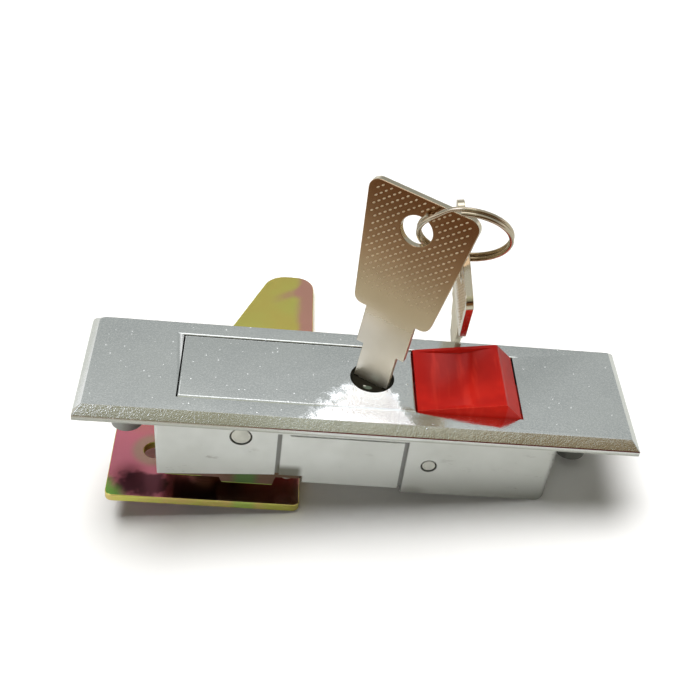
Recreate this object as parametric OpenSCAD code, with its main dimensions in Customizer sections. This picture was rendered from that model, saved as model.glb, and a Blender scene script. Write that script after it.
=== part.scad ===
// Flush panel lock with a lifting handle, a push button, a keyed cylinder and a turning latch plate.
// The long side runs along X, the front faces up, and Z 0 is the face that seats on the panel.

/* [Faceplate] */
// Length of the faceplate
plate_l = 150; // [148:1:175]
// Width of the faceplate
plate_w = 40; // [38:0.5:50]
// Height of the straight edge under the bevel
edge_h = 1.4; // [1:0.1:2]
// Width of the bevel, seen from above
bevel_run = 2.3; // [1:0.1:3]
// Height of the bevel
bevel_rise = 2.4; // [1.8:0.1:3]
// Distance from the middle of the plate to the left end of the slot
slot_from_middle = 49; // [48:0.5:50]
// Distance from the housing's sides to the slot
slot_inset = 3.3; // [2.8:0.1:4]
// How far the end walls of the slot lean back under the face
slot_undercut = 1.8; // [1.5:0.1:2.4]

/* [Housing] */
// Distance from the slot to the housing's left end
left_end = 5.5; // [5:0.1:6.5]
// Distance from the slot to the housing's right end
right_end = 10.8; // [10:0.1:12]
// Width of the housing
body_w = 32; // [31:0.5:36]
// Thickness of the end walls and the side walls
wall = 2.6; // [2:0.1:2.8]
// Depth of the housing round the latch
latch_end_depth = 22.3; // [22:0.1:26]
// Rise of the housing's lower edge beside the latch
skirt_rise = 2.3; // [1:0.1:2.4]
// Depth of the housing round the cylinder
mid_depth = 22.4; // [22.2:0.1:26]
// Depth of the housing under the button
button_end_depth = 23.9; // [23:0.1:27]
// Thickness of the housing's floor
floor_t = 2; // [1.5:0.1:2.5]
// Width of the grooves that frame the middle of the side wall
groove_w = 1.2; // [0.8:0.1:1.6]
// Depth of those grooves
groove_depth = 0.7; // [0.4:0.1:1]
// Diameter of the mounting bosses
boss_d = 9; // [8:0.2:10]
// Length of the mounting bosses
boss_l = 18.5; // [14:0.5:20]
// Distance from each end of the plate to its mounting boss
boss_from_end = 11.5; // [10:0.5:13]
// Diameter of the tapped hole in each boss
tap_d = 4.2; // [3.3:0.1:5]
// Depth of the tapped holes
tap_depth = 14; // [10:0.5:16]

/* [Handle] */
// Length of the handle
handle_l = 63.2; // [61:0.2:66]
// Gap at the ends of the handle
end_gap = 0.4; // [0.3:0.05:0.6]
// Gap along the sides of the handle and the button
side_gap = 0.3; // [0.2:0.05:0.5]
// Thickness of the handle's top
handle_t = 2.6; // [2.2:0.1:3]
// Thickness of the handle's side walls
cheek_t = 2.2; // [1.8:0.1:2.4]
// Depth of the handle's side walls below the plate's seat
cheek_drop = 4.2; // [3:0.1:5]
// Distance from the left end of the handle to its pin
pivot_from_end = 17.3; // [16.5:0.1:17.8]
// Depth of the handle's pin below the front face
pivot_depth = 10.1; // [9.8:0.1:10.4]
// Diameter of the handle's pin
pivot_d = 5.1; // [4:0.1:5.4]
// Running clearance of the pins, on the radius
pin_fit = 0.05; // [0.02:0.01:0.1]
// Opening angle of the handle
lift_max = 60; // [50:1:62]
// Distance from the handle's pin to the middle of its foot
foot_reach = 11.6; // [11.4:0.1:11.8]
// Diameter of the round end of the foot
foot_d = 3.6; // [3.2:0.1:3.8]
// Width of the foot
foot_w = 8; // [6:0.5:9]

/* [Button] */
// Length of the button
button_l = 28.2; // [27:0.2:29]
// Height of the button's raised edge above the face
button_rise = 4.5; // [3:0.1:5]
// Distance from the button's left end to its raised edge
crest_from_end = 23.4; // [22:0.2:24.5]
// Width of the rim round the button's hollow
button_rim = 1.1; // [0.8:0.1:2]
// Depth of the hollow in the button
dish_depth = 1.4; // [0.5:0.1:1.8]
// Wall of the button
button_wall = 2; // [1.6:0.1:2.2]
// Distance from the button's left end to its pin
button_pin_from_end = 5.3; // [5:0.1:5.8]
// Depth of the button's pin below the front face
button_pin_depth = 16.8; // [16.4:0.1:17.2]
// Diameter of the button's pin
button_pin_d = 3.5; // [3:0.1:4]
// Gap at the outer end of the button
button_gap = 0.5; // [0.4:0.1:1.2]
// Thickness of the catch
catch_t = 1.5; // [1.2:0.1:1.6]
// Overlap of the catch on the nose of the handle
catch_grip = 1.3; // [1:0.1:1.4]

/* [Lock cylinder] */
// Diameter of the opening for the cylinder in the handle
keyhole_d = 12.1; // [11.8:0.1:12.6]
// Distance from the handle's right end to the cylinder
keyhole_from_end = 11.4; // [11.2:0.1:12]
// Lean of the cylinder towards the button
lean = 6; // [4:0.5:7]
// Diameter of the barrel
barrel_d = 15.2; // [14.8:0.1:15.6]
// Diameter of the plug
plug_d = 11.2; // [11:0.1:11.6]
// Depth of the plug's face below the handle's face
face_recess = 1; // [0.6:0.1:1.3]
// Length of the barrel
barrel_l = 15.1; // [14.8:0.1:15.6]
// Wall round the barrel in the handle
boss_wall = 1.8; // [1.4:0.1:2]
// Turn of the key in the pose shown
key_turn = -27; // [-30:1:-20]
// Length of the cam's arm
cam_l = 11; // [10.6:0.1:11.4]

/* [Keys] */
// Height of the key above the plug
key_above = 60.5; // [58:0.5:62]
// Width of the bow at its top
bow_top_w = 29.8; // [28:0.2:31]
// Width of the bow at its shoulders
bow_low_w = 22.2; // [20:0.2:24]
// Length of the bow
bow_l = 37.1; // [35:0.5:38]
// Width of the neck below the bow
neck_w = 14.1; // [12:0.1:16]
// Length of the neck
neck_l = 12; // [10:0.5:14]
// Width of the shank between the neck and the plug
shank_w = 10; // [9:0.1:10.6]
// Width of the blade inside the plug
blade_w = 7.4; // [6.6:0.1:7.6]
// Thickness of the key
key_t = 1.9; // [1.8:0.1:2]
// Diameter of the hole in the bow
bow_hole_d = 8.6; // [8.5:0.1:9]
// Distance from the top of the bow to the hole's middle
bow_hole_from_top = 9.5; // [9:0.1:11]
// Outer diameter of the key ring
ring_d = 24; // [23.6:0.1:24.6]
// Diameter of the ring's wire
ring_wire_d = 1.2; // [1:0.05:1.2]

/* [Latch] */
// Distance from the handle's pin to the latch's spindle
spindle_from_pin = 9.5; // [9.2:0.1:9.9]
// Thickness of the cover plate
cover_t = 2; // [1.8:0.1:2.2]
// Gap between the cover plate and the latch plate
latch_drop = 7.7; // [7:0.1:10]
// Thickness of the latch plate
latch_t = 2.5; // [2:0.1:3]
// Length of the latch plate's base along X
base_l = 54; // [50:1:60]
// Width of the latch plate's base along Y
base_w = 36; // [34:1:42]
// Distance from the spindle to the tip of the tongue
tongue_reach = 87; // [70:1:95]
// Distance from the spindle to the tongue's straight side
tongue_side = 30.4; // [28:0.2:33]
// Slant of the tongue's other side
tongue_slant = 22.3; // [18:0.1:24]
// Distance from the spindle to each rod hole
rod_offset = 15; // [14:0.5:18]
// Diameter of the rod holes
rod_hole_d = 6.2; // [5:0.1:6.4]
// Distance from the spindle to the drive pin
crank_r = 8.2; // [8.1:0.05:8.3]
// Diameter of the drive pin
drive_pin_d = 4; // [3.6:0.1:4.2]
// Turn of the latch over the whole lift
latch_turn = 90; // [85:1:92]
// Play of the drive pin and the foot in the slide
slide_play = 0.35; // [0.3:0.05:0.5]

/* [Hidden] */
$fn = 48;
eps = 0.01;

// Ends and levels that everything is placed from
plate_t = edge_h + bevel_rise;
x_left = -plate_l / 2;
x_right = plate_l / 2;
slot_w = body_w - 2 * slot_inset;
slot_x0 = -slot_from_middle;
handle_x0 = slot_x0 + end_gap;
handle_x1 = handle_x0 + handle_l;
button_x0 = handle_x1 + end_gap;
button_x1 = button_x0 + button_l;
slot_x1 = button_x1 + button_gap;
handle_w = slot_w - 2 * side_gap;
body_x0 = slot_x0 - left_end;
body_x1 = slot_x1 + right_end;
cavity_x0 = body_x0 + wall;
cavity_x1 = body_x1 - wall;
cavity_w = body_w - 2 * wall;
pivot_x = handle_x0 + pivot_from_end;
pivot_z = plate_t - pivot_depth;
button_pin_x = button_x0 + button_pin_from_end;
button_pin_z = plate_t - button_pin_depth;
skin_z = plate_t - handle_t;
spindle_x = pivot_x - spindle_from_pin;
cylinder_x = handle_x1 - keyhole_from_end;

// Housing details
housing_draft = 1;
end_round = 3;
corner_r = 1.5;
step_x = handle_x1 - 1;
left_groove_x = pivot_x + 9.8;
right_groove_x = step_x - groove_w + 0.3;
groove_top = -4.4;
top_groove_w = 0.5;
top_groove_gap = 2;
cross_wall_t = 2;
cross_wall_drop = 10.4;
shelf_l = 3.1;
shelf_t = 1.3;
shelf_low = -13.7;
stop_rib_t = 1.6;
stop_rib_y = 8;
pin_relief = 0.45;
relief_depth = 0.9;

// Cover plate and its screws
cover_lip = 1;
cover_top = -latch_end_depth + cover_t;
cover_low = -latch_end_depth;
cover_x0 = cavity_x0 - 0.5;
cover_x1 = cylinder_x - 17;
cover_w = body_w - 2 * cover_lip - 0.2;
flange_drop = 1.3;
flange_t = 1.1;
tab_drop = 3.2;
tab_x0 = pivot_x - 5.9;
tab_x1 = pivot_x + 11.1;
cross_wall_x = cover_x1 - cross_wall_t;
screw_d = 2.5;
screw_head_d = 4.6;
screw_head_h = 1.6;
screw_boss_d = 6;
screw_boss_l = 9;
screw_hole_l = 7;
screw_l = 8;
screw_x = cover_x1 - 4.2;
screw_y = cavity_w / 2 - 2;

// Slide and latch
slide_t = 2.2;
slide_low = cover_top + 1.3;
slide_top = slide_low + slide_t;
slide_w = cavity_w - 0.6;
slide_travel = 2 * foot_reach * sin(lift_max / 2);
slide_l = spindle_from_pin + 8;
slide_x0 = spindle_x - slide_travel / 2 - 3.9;
foot_rest_x = pivot_x - slide_travel / 2;
low_rail_w = 1.8;
high_rail_w = 0.7;
high_rail_t = 1.35;
journal_d = 8;
journal_top = slide_low - 0.2;
bush_wall = 1.5;
bush_proud = 0.8;
drum_top = cover_low - bush_proud - 0.2;
drum_d = 22;
latch_top = cover_low - latch_drop;
latch_low = latch_top - latch_t;
square_w = 7;
crank_rest = 90 + latch_turn / 2;
washer_t = 1;
washer_d = 15;
rivet_head_h = 1.2;
base_corner = 2;
tongue_left_r = 8;
tongue_right_r = 6;

// Springs
spring_wire = 1.1;
spring_r = pivot_d / 2 + spring_wire / 2 + 0.35;
spring_y0 = -foot_w / 2 - 0.9;
spring_pitch = 1.35;
spring_room = handle_w / 2 - cheek_t + spring_y0 - spring_wire / 2 - 0.02;
spring_turns = floor(spring_room / spring_pitch - 0.5);
spring_leg = 8.4;
spring_bend = 4;
spring_low_bend = 6;
spring_rest_z = -cross_wall_drop + spring_wire / 2 + 0.05;
button_spring_x = button_x1 - 6.8;
button_spring_r = 2.7;
button_wire = 0.75;
button_turns = 7;
button_seat_z = -6.2;

// Handle details
handle_chamfer = 0.4;
end_slope = 2;
hub_d = 12.6;
nose_w = 12;
nose_z = -2.5;
nose_t = 2.2;
web_t = 2;
web_from_end = 5.2;
rib_t = 1.6;
rib_low = -0.6;

// Button and catch details
button_left_h = 0.4;
lug_r = 3.9;
stop_w = 12;
stop_low = -3.4;
stop_top = -0.5;
stop_l = 5.4;
post_d = 6.6;
catch_w = 9;
nose_gap = 0.3;
catch_low = nose_z + nose_gap;
catch_top = catch_low + catch_t;
catch_web_t = 1.6;
rivet_d = 2.4;
rivet_x = button_pin_x + 0.4;
rivet_y = 2.8;

// Cylinder and key
boss_end = 14;
boss_d_handle = barrel_d + 2 * boss_wall;
throat = face_recess + 0.4;
barrel_end = throat + barrel_l;
clip_t = 0.8;
plug_end = barrel_end + 0.5;
tail_w = 4.6;
tail_d = 6;
cam_t = 2;
cam_hub_d = 10;
cam_arm_w = 6.8;
cam_turn = -90;
cam_screw_d = 2.6;
keyway_w = blade_w + 0.3;
keyway_t = key_t + 0.3;
blade_l = barrel_end - face_recess - 1.5;
key_shoulder = key_above - bow_l;
neck_low = key_shoulder - neck_l;
hole_height = key_above - bow_hole_from_top;
bow_corner = 3;
shoulder_r = 2.6;
tumbler_count = 5;
tumbler_pitch = 2.5;
tumbler_t = 0.8;
tumbler_w = plug_d - 1.6;
tumbler_h = keyway_t + 3;
tumbler_first = face_recess + 3.4;
bit_size = 0.9;

// Outline helpers
function arc_points(cx, cy, r, from, to, steps = 8) =
  [for (i = [0 : steps]) let (a = from + (to - from) * i / steps) [cx + r * cos(a), cy + r * sin(a)]];

// A rectangle with round corners, made of squares and circles
module round_rect(x0, x1, y0, y1, r) {
  translate([x0 + r, y0]) square([x1 - x0 - 2 * r, y1 - y0]);
  translate([x0, y0 + r]) square([x1 - x0, y1 - y0 - 2 * r]);
  for (x = [x0 + r, x1 - r], y = [y0 + r, y1 - r]) translate([x, y]) circle(r);
}

// A box given by its low and high ends on each axis
module span(x0, x1, y0, y1, z0, z1) {
  translate([x0, y0, z0]) cube([x1 - x0, y1 - y0, z1 - z0]);
}

// A profile drawn in X and Z, drawn out to both sides of the middle
module side_profile(width) {
  rotate([90, 0, 0]) translate([0, 0, -width / 2]) linear_extrude(width) children();
}

// A rod along Y
module cross_rod(x, z, d, length, y = 0) {
  translate([x, y, z]) rotate([90, 0, 0]) cylinder(d = d, h = length, center = true);
}

// A solid drawn out in Z between two levels
module slab(z0, z1) {
  translate([0, 0, z0]) linear_extrude(z1 - z0) children();
}

// The cylinder's own frame: Z along its axis, 0 at the front face
module cylinder_frame(turn = 0) {
  translate([cylinder_x, 0, plate_t]) rotate([0, lean, 0]) rotate([0, 0, turn]) children();
}

// A wire swept through a list of points, with round section and flat ends
function cross_unit(a, b) = let (c = cross(a, b)) c / norm(c);
module wire(points, d, up = [0, 1, 0], sides = 8) {
  n = len(points);
  ends = [for (i = [0 : n - 1]) points[min(i + 1, n - 1)] - points[max(i - 1, 0)]];
  rings = [for (i = [0 : n - 1])
    let (t = ends[i] / norm(ends[i]), s = cross_unit(t, up), v = cross(s, t))
    for (k = [0 : sides - 1]) let (a = 360 * k / sides)
      points[i] + d / 2 * (cos(a) * s + sin(a) * v)];
  walls = [for (i = [0 : n - 2], k = [0 : sides - 1])
    let (a = i * sides + k, b = i * sides + (k + 1) % sides)
    [a, a + sides, b + sides, b]];
  caps = [[for (k = [0 : sides - 1]) k], [for (k = [sides - 1 : -1 : 0]) (n - 1) * sides + k]];
  polyhedron(rings, concat(walls, caps));
}

// Faceplate with its bevel: one trapezium along X, one along Y
module faceplate_solid() {
  intersection() {
    side_profile(plate_w)
      polygon([[x_left, 0], [x_right, 0], [x_right, edge_h], [x_right - bevel_run, plate_t],
        [x_left + bevel_run, plate_t], [x_left, edge_h]]);
    rotate([90, 0, 90]) translate([0, 0, x_left]) linear_extrude(plate_l)
      polygon([[-plate_w / 2, 0], [plate_w / 2, 0], [plate_w / 2, edge_h],
        [plate_w / 2 - bevel_run, plate_t], [-plate_w / 2 + bevel_run, plate_t], [-plate_w / 2, edge_h]]);
  }
}

// Slot through the faceplate, wider below so that the turning ends stay clear of its lips
module slot_cut() {
  side_profile(slot_w)
    polygon([[slot_x0, plate_t + eps], [slot_x0, plate_t], [slot_x0 - slot_undercut, -eps],
      [slot_x1 + slot_undercut + 1, -eps], [slot_x1, plate_t], [slot_x1, plate_t + eps]]);
}

module housing_block() {
  intersection() {
    side_profile(body_w)
      polygon(concat([[body_x0, eps], [body_x0 + housing_draft, -latch_end_depth],
        [left_groove_x, -latch_end_depth + skirt_rise], [cover_x1, -latch_end_depth + skirt_rise],
        [cover_x1, -mid_depth], [step_x, -mid_depth], [step_x, -button_end_depth]],
        arc_points(body_x1 - end_round, -button_end_depth + end_round, end_round, 270, 360),
        [[body_x1, eps]]));
    slab(-button_end_depth - 1, 1) round_rect(body_x0, body_x1, -body_w / 2, body_w / 2, corner_r);
  }
}

// Grooves that frame the middle of both side walls
module frame_grooves() {
  low = -button_end_depth - 1;
  for (side = [-1, 1]) translate([0, side * body_w / 2, 0]) {
    for (x = [left_groove_x, right_groove_x])
      span(x, x + groove_w, -groove_depth, groove_depth, low, groove_top);
    span(left_groove_x + groove_w + top_groove_gap, right_groove_x + eps, -groove_depth, groove_depth,
      groove_top - top_groove_w, groove_top);
  }
}

// A ledge along the inside of a side wall of the housing
module inner_ledge(side, x0, x1, width, z0, z1) {
  outer = cavity_w / 2 + eps;
  span(x0, x1, side > 0 ? outer - width : -outer, side > 0 ? outer : width - outer, z0, z1);
}

// Bore of a cross pin, relieved where it comes out of the side walls
module pin_bore(x, z, d) {
  cross_rod(x, z, d, body_w + 2);
  for (side = [-1, 1])
    cross_rod(x, z, d + 2 * pin_relief, 2 * relief_depth, side * body_w / 2);
}

// The housing's chambers and the seat of the cover plate
module chambers() {
  half = cavity_w / 2;
  span(cavity_x0, cross_wall_x, -half, half, -latch_end_depth - 1, 0);
  span(cover_x1, step_x, -half, half, -mid_depth + floor_t, 0);
  span(step_x - eps, cavity_x1, -half, half, -button_end_depth + floor_t, 0);
  span(cross_wall_x - eps, cover_x1 + eps, -half, half, -cross_wall_drop, 0);
  span(cover_x0 - 0.2, cover_x1, -body_w / 2 + cover_lip, body_w / 2 - cover_lip, -latch_end_depth - 1,
    cover_top);
}

// Rails for the slide, the shelf over the cam, and the stops and spigot of the button
module inner_ledges() {
  floor_z = -button_end_depth + floor_t - eps;
  shelf_x = cylinder_x + 6.6;
  for (side = [-1, 1]) {
    inner_ledge(side, cavity_x0 - eps, cross_wall_x + eps, low_rail_w, cover_top, slide_low - 0.1);
    inner_ledge(side, cavity_x0 - eps, cross_wall_x + eps, high_rail_w, slide_top + 0.25,
      slide_top + 0.25 + high_rail_t);
    translate([screw_x, side * screw_y, cover_top]) cylinder(d = screw_boss_d, h = screw_boss_l);
    translate([0, side * stop_rib_y, 0])
      span(button_x1 + 1, cavity_x1 + eps, -stop_rib_t / 2, stop_rib_t / 2, floor_z, -6);
  }
  span(shelf_x, shelf_x + shelf_l, -cavity_w / 2 - eps, cavity_w / 2 + eps, shelf_low, shelf_low + shelf_t);
  translate([button_spring_x, 0, floor_z]) cylinder(d = 2 * button_spring_r - button_wire - 1, h = 5);
}

module body() {
  boss_x = plate_l / 2 - boss_from_end;
  color("#a9aaa8") difference() {
    union() {
      difference() {
        union() {
          faceplate_solid();
          housing_block();
          for (x = [-boss_x, boss_x])
            translate([x, 0, -boss_l]) cylinder(d = boss_d, h = boss_l + eps);
        }
        slot_cut();
        chambers();
      }
      inner_ledges();
    }
    frame_grooves();
    pin_bore(pivot_x, pivot_z, pivot_d);
    pin_bore(button_pin_x, button_pin_z, button_pin_d);
    for (x = [-boss_x, boss_x])
      translate([x, 0, -boss_l - eps]) cylinder(d = tap_d, h = tap_depth + eps);
    for (side = [-1, 1])
      translate([screw_x, side * screw_y, cover_top - eps]) cylinder(d = screw_d, h = screw_hole_l);
  }
}

// Cover with a flange folded down along the near edge, an arc window for the drive pin,
// and holes for the bush and the screws
module cover_plate() {
  edge_y = -cover_w / 2;
  flange_low = cover_low - flange_drop;
  window_w = drive_pin_d + 0.8;
  below = cover_low - 1;
  color("#8f7a4a") difference() {
    union() {
      slab(cover_low, cover_top) round_rect(cover_x0, cover_x1 - 0.2, edge_y, -edge_y, 1);
      translate([0, edge_y + flange_t, 0]) rotate([90, 0, 0]) linear_extrude(flange_t)
        polygon([[cover_x0 + 1, cover_low + eps], [cover_x0 + 1, flange_low],
          [tab_x0 + 0.5, flange_low], [tab_x0 + 1.3, cover_low - tab_drop],
          [tab_x1 - 1.7, cover_low - tab_drop], [tab_x1 - 0.9, cover_low + eps]]);
    }
    translate([spindle_x, 0, below]) cylinder(d = journal_d + 2 * bush_wall, h = cover_t + 2);
    translate([spindle_x, 0, below]) {
      rotate([0, 0, 90 - latch_turn / 2]) rotate_extrude(angle = latch_turn)
        translate([crank_r - window_w / 2, 0]) square([window_w, cover_t + 2]);
      for (a = [90 - latch_turn / 2, 90 + latch_turn / 2])
        rotate([0, 0, a]) translate([crank_r, 0, 0]) cylinder(d = window_w, h = cover_t + 2);
    }
    for (side = [-1, 1])
      translate([screw_x, side * screw_y, below]) cylinder(d = screw_d + 0.7, h = cover_t + 2);
  }
}

// A cross recess in a screw's head, cut upwards from its low face
module cross_recess(size, width, depth) {
  for (a = [0, 90]) rotate([0, 0, a]) translate([-size / 2, -width / 2, -eps]) cube([size, width, depth]);
}

module cover_screws() {
  color("#b9b9b4") for (side = [-1, 1]) translate([screw_x, side * screw_y, cover_low]) difference() {
    union() {
      translate([0, 0, -screw_head_h]) cylinder(d = screw_head_d, h = screw_head_h);
      translate([0, 0, -eps]) cylinder(d = screw_d, h = screw_l);
    }
    translate([0, 0, -screw_head_h]) cross_recess(0.6 * screw_head_d, 0.7, 0.9);
  }
}

module spindle_bush() {
  color("#c2a25a") translate([spindle_x, 0, cover_low - bush_proud]) difference() {
    cylinder(d = journal_d + 2 * bush_wall, h = cover_t + bush_proud);
    translate([0, 0, -1]) cylinder(d = journal_d + 2 * pin_fit, h = cover_t + 4);
  }
}

module handle_pin() {
  color("#b4b4ae") cross_rod(pivot_x, pivot_z, pivot_d, body_w - 0.4);
}

module button_pin() {
  color("#b4b4ae") cross_rod(button_pin_x, button_pin_z, button_pin_d, body_w - 0.4);
}

// Torsion spring round the handle's hub, with one leg under the handle's top and one on the cross wall
module handle_spring() {
  steps = 16;
  coil = [for (i = [0 : steps * spring_turns + steps / 2]) let (a = 90 + 360 * i / steps)
    [pivot_x + spring_r * cos(a), spring_y0 - spring_pitch * i / steps, pivot_z + spring_r * sin(a)]];
  last_y = spring_y0 - spring_pitch * (spring_turns + 0.5);
  upper_leg = [[pivot_x + spring_leg, spring_y0, skin_z - 0.95],
    [pivot_x + spring_bend, spring_y0, skin_z - 2]];
  lower_leg = [[pivot_x + spring_low_bend, last_y, spring_rest_z], [cross_wall_x + 1, last_y, spring_rest_z]];
  color("#8d8f90") wire(concat(upper_leg, coil, lower_leg), spring_wire, sides = 8);
}

module button_spring() {
  steps = 14;
  low = -button_end_depth + floor_t + 0.45;
  high = button_seat_z - 0.6;
  coil = [for (i = [0 : steps * button_turns]) let (a = 360 * i / steps,
      z = low + (high - low) * max(0, min(1, (i - steps) / (steps * (button_turns - 2)))))
    [button_spring_x + button_spring_r * cos(a), button_spring_r * sin(a), z + 0.02 * i / steps]];
  color("#8d8f90") wire(coil, button_wire, up = [0, 0, 1], sides = 6);
}

// Handle: a channel with a cross hub, a foot, a boss for the cylinder and a nose for the catch
module handle_side() {
  arm_z = pivot_z + 5.6;
  polygon([[handle_x0 + end_slope, skin_z + eps], [handle_x0 + end_slope + 0.8, arm_z],
    [pivot_x - hub_d / 2 + 0.6, arm_z - 1.6], [pivot_x, arm_z - 1.6], [pivot_x + hub_d / 2 + 2, -cheek_drop],
    [handle_x1 - 7, -cheek_drop], [handle_x1 - 1, -1.6], [handle_x1 - 1, skin_z + eps]]);
  translate([pivot_x, pivot_z]) circle(d = hub_d);
}

module handle() {
  web_x = handle_x1 - web_from_end;
  boss_reach = handle_w / 2 - cheek_t / 2;
  color("#a5a7a5") difference() {
    union() {
      // Top, chamfered along all its edges
      intersection() {
        side_profile(handle_w)
          polygon([[handle_x0 + handle_chamfer / 2, plate_t], [handle_x0, plate_t - handle_chamfer / 2],
            [handle_x0 + end_slope, skin_z], [handle_x1, skin_z], [handle_x1, plate_t - handle_chamfer / 2],
            [handle_x1 - handle_chamfer / 2, plate_t]]);
        rotate([90, 0, 90]) translate([0, 0, handle_x0 - 1]) linear_extrude(handle_l + 2)
          polygon([[-handle_w / 2, skin_z], [handle_w / 2, skin_z],
            [handle_w / 2, plate_t - handle_chamfer], [handle_w / 2 - handle_chamfer, plate_t],
            [-handle_w / 2 + handle_chamfer, plate_t], [-handle_w / 2, plate_t - handle_chamfer]]);
      }
      // Side walls
      difference() {
        side_profile(handle_w) handle_side();
        side_profile(handle_w - 2 * cheek_t) translate([x_left, -60]) square([plate_l, 60 + skin_z]);
      }
      // Foot with its hub and neck
      cross_rod(pivot_x, pivot_z, hub_d - 1.6, foot_w);
      side_profile(foot_w) polygon([[pivot_x - 4, skin_z + eps], [pivot_x + 4, skin_z + eps],
        [pivot_x + 4, pivot_z], [pivot_x - 4, pivot_z]]);
      translate([pivot_x, 0, pivot_z]) rotate([0, lift_max / 2, 0]) {
        side_profile(foot_w) polygon([[-3.4, 0], [3.4, 0], [1.3, -7], [1.3, -foot_reach], [-1.3, -foot_reach],
          [-1.3, -7]]);
        cross_rod(0, -foot_reach, foot_d, foot_w);
      }
      // Boss round the barrel
      intersection() {
        cylinder_frame() translate([0, 0, -boss_end]) cylinder(d = boss_d_handle, h = boss_end + 2);
        span(handle_x0, handle_x1, -boss_reach, boss_reach, plate_t - 2 * boss_end, skin_z + eps);
      }
      // Cross web and the nose that the catch holds
      span(web_x, web_x + web_t, -handle_w / 2 + eps, handle_w / 2 - eps, nose_z - nose_t, skin_z + eps);
      span(web_x, handle_x1, -nose_w / 2, nose_w / 2, nose_z - nose_t, nose_z);
      // Ribs under the grip
      for (x = [pivot_x + 9, pivot_x + 17])
        span(x, x + rib_t, -handle_w / 2 + eps, handle_w / 2 - eps, rib_low, skin_z + eps);
    }
    cross_rod(pivot_x, pivot_z, pivot_d + 2 * pin_fit, handle_w + 2);
    // Opening in the face and bore of the barrel
    cylinder_frame() {
      translate([0, 0, -throat - 1]) cylinder(d = keyhole_d, h = throat + 4);
      translate([0, 0, -boss_end - 3]) cylinder(d = barrel_d + 0.04, h = boss_end + 3 - throat);
    }
  }
}

module lock_barrel() {
  color("#b98f3f") cylinder_frame() difference() {
    translate([0, 0, -barrel_end]) cylinder(d = barrel_d, h = barrel_l);
    translate([0, 0, -barrel_end - 1]) cylinder(d = plug_d + 2 * pin_fit, h = barrel_l + 2);
    // Groove for the clip
    translate([0, 0, -boss_end - 0.2 - clip_t]) difference() {
      cylinder(d = barrel_d + 2, h = clip_t + 0.1);
      translate([0, 0, -1]) cylinder(d = barrel_d - 1.4, h = clip_t + 2);
    }
  }
}

module barrel_clip() {
  color("#6f7274") cylinder_frame() translate([0, 0, -boss_end - 0.15 - clip_t]) difference() {
    cylinder(d = barrel_d + 2.6, h = clip_t);
    translate([0, 0, -1]) cylinder(d = barrel_d - 1.36, h = clip_t + 2);
    translate([0, -barrel_d / 4, -1]) cube([barrel_d, barrel_d / 2, clip_t + 2]);
  }
}

// Button: a rocker with a hollow thumb face, open below
module button() {
  crest_x = button_x0 + crest_from_end;
  crest_z = plate_t + button_rise;
  left_z = plate_t + button_left_h;
  slope = (crest_z - left_z) / crest_from_end;
  valley_x = button_x0 + 0.56 * crest_from_end;
  valley_z = left_z + slope * (valley_x - button_x0) - dish_depth;
  rib_y = handle_w / 2 - 1;
  inner_x0 = button_x0 + button_wall;
  inner_x1 = button_x1 - 4.7;
  color("#c81e1e") difference() {
    union() {
      difference() {
        side_profile(handle_w) union() {
          polygon([[button_x0, left_z], [crest_x, crest_z], [button_x1, plate_t], [button_x1, plate_t - 1.2],
            [button_x1 - 3, 1], [button_x1 - 3, -4.4], [button_pin_x + 6, -5.6],
            [button_pin_x + lug_r, button_pin_z], [button_pin_x - lug_r, button_pin_z], [button_x0, -4]]);
          translate([button_pin_x, button_pin_z]) circle(r = lug_r);
        }
        // Hollow of the thumb face
        side_profile(handle_w - 2 * button_rim)
          polygon([[button_x0 + button_rim, left_z + slope * button_rim + eps],
            [valley_x, valley_z],
            [crest_x - button_rim, crest_z - slope * button_rim + eps],
            [crest_x - button_rim, crest_z + 2], [button_x0 + button_rim, crest_z + 2]]);
        // Open inside
        side_profile(handle_w - 2 * button_wall)
          polygon([[inner_x0, plate_t - 2.2], [valley_x, valley_z - 1.8], [inner_x1 - 2, crest_z - 4.2],
            [inner_x1, plate_t - 1.6], [inner_x1, -30], [inner_x0, -30]]);
      }
      // Web that carries the catch
      span(button_x0 + 1, button_pin_x + 6.4, -rib_y, rib_y, catch_top, catch_top + catch_web_t);
      // Post that the spring pushes on, joined by a cross rib
      translate([button_spring_x, 0, button_seat_z]) cylinder(d = post_d, h = plate_t - 1 - button_seat_z);
      span(button_spring_x - 0.8, button_spring_x + 0.8, -rib_y, rib_y, -3, plate_t - 1);
      // Stop under the end of the slot
      span(button_x1 - 4, button_x1 + stop_l, -stop_w / 2, stop_w / 2, stop_low, stop_top);
    }
    // Window for the catch
    span(button_x0 - 1, button_x0 + button_wall + 0.5, -catch_w / 2 - 0.2, catch_w / 2 + 0.2, catch_low - 0.1,
      catch_top);
    cross_rod(button_pin_x, button_pin_z, button_pin_d + 2 * pin_fit, handle_w + 2);
    for (side = [-1, 1])
      translate([rivet_x, side * rivet_y, catch_low - 1]) cylinder(d = rivet_d, h = 6);
  }
}

// Catch: a steel hook riveted under the button's web
module catch_plate() {
  fold_x = button_pin_x + 5.6;
  color("#9b9c98") difference() {
    union() {
      span(handle_x1 - catch_grip, fold_x, -catch_w / 2, catch_w / 2, catch_low, catch_top);
      span(fold_x - catch_t, fold_x, -catch_w / 2, catch_w / 2, catch_low - 3.4, catch_low + eps);
    }
    // Slope that lets the handle push the catch aside
    translate([handle_x1 - catch_grip, 0, catch_top]) rotate([0, 40, 0])
      span(-4, 0, -catch_w, catch_w, -4, 4);
    for (side = [-1, 1])
      translate([rivet_x, side * rivet_y, catch_low - 1]) cylinder(d = rivet_d, h = 6);
  }
}

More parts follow.
